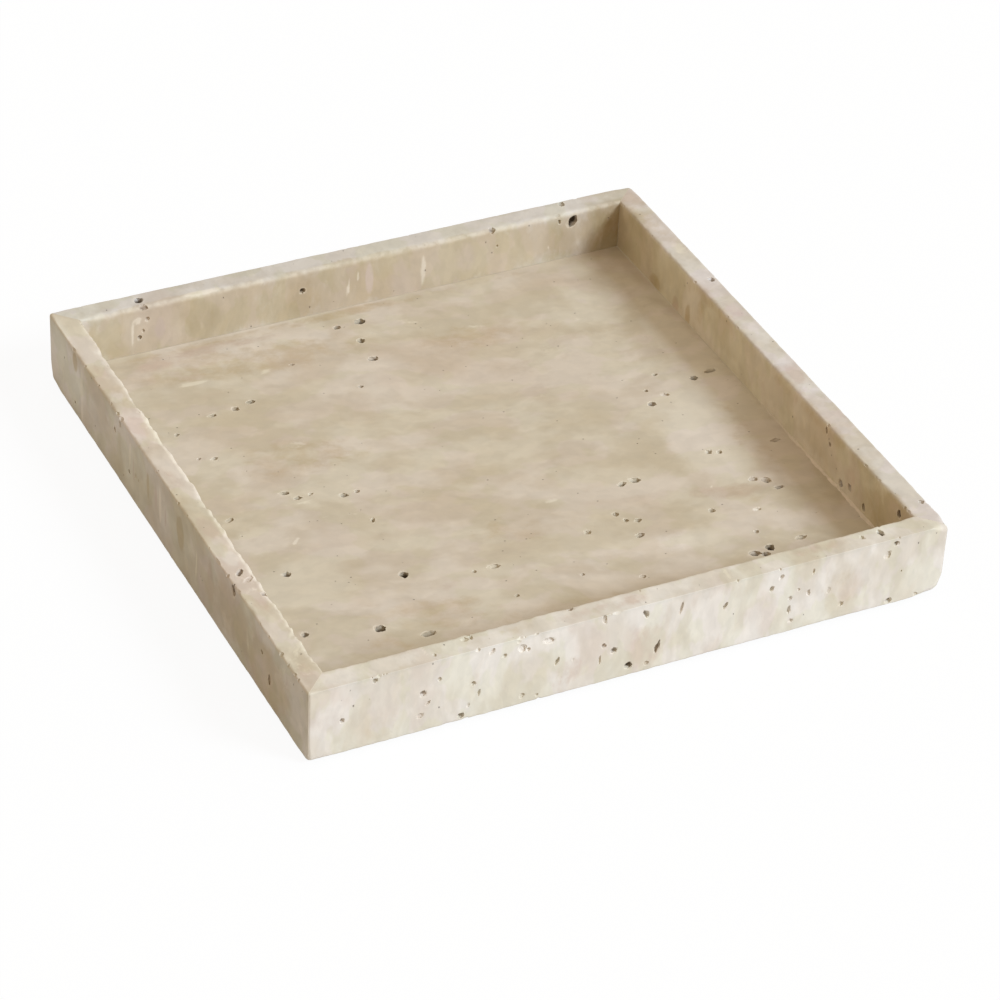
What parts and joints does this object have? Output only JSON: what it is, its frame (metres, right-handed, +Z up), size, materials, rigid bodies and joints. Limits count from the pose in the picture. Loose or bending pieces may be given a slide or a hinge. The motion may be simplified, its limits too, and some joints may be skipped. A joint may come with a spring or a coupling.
{
  "type": "vanity tray",
  "caption": "Low square travertine tray with a flat floor slab, mitred upright walls, an open top and felt pads underneath.",
  "frame": {"origin": "on the surface the tray stands on, under the tray's centre", "axes": "+Z up, +X along the front wall to the right, +Y from the front wall to the back wall"},
  "size_m": [0.305, 0.305, 0.038],
  "materials": {
    "travertine_walls": "honed and unfilled travertine, grain upright",
    "travertine_floor": "honed and unfilled travertine, grain lengthwise",
    "stone_glue": "cured cream resin, ground flush",
    "felt": "pressed felt"
  },
  "bodies": {
    "root": {"floor_slab": "travertine_floor", "front_wall": "travertine_walls", "right_wall": "travertine_walls", "back_wall": "travertine_walls", "left_wall": "travertine_walls", "front_left_mitre_glue": "stone_glue", "front_right_mitre_glue": "stone_glue", "back_right_mitre_glue": "stone_glue", "back_left_mitre_glue": "stone_glue", "front_floor_glue": "stone_glue", "back_floor_glue": "stone_glue", "left_floor_glue": "stone_glue", "right_floor_glue": "stone_glue", "front_left_pad": "felt", "front_right_pad": "felt", "back_right_pad": "felt", "back_left_pad": "felt"}
  },
  "joints": []
}
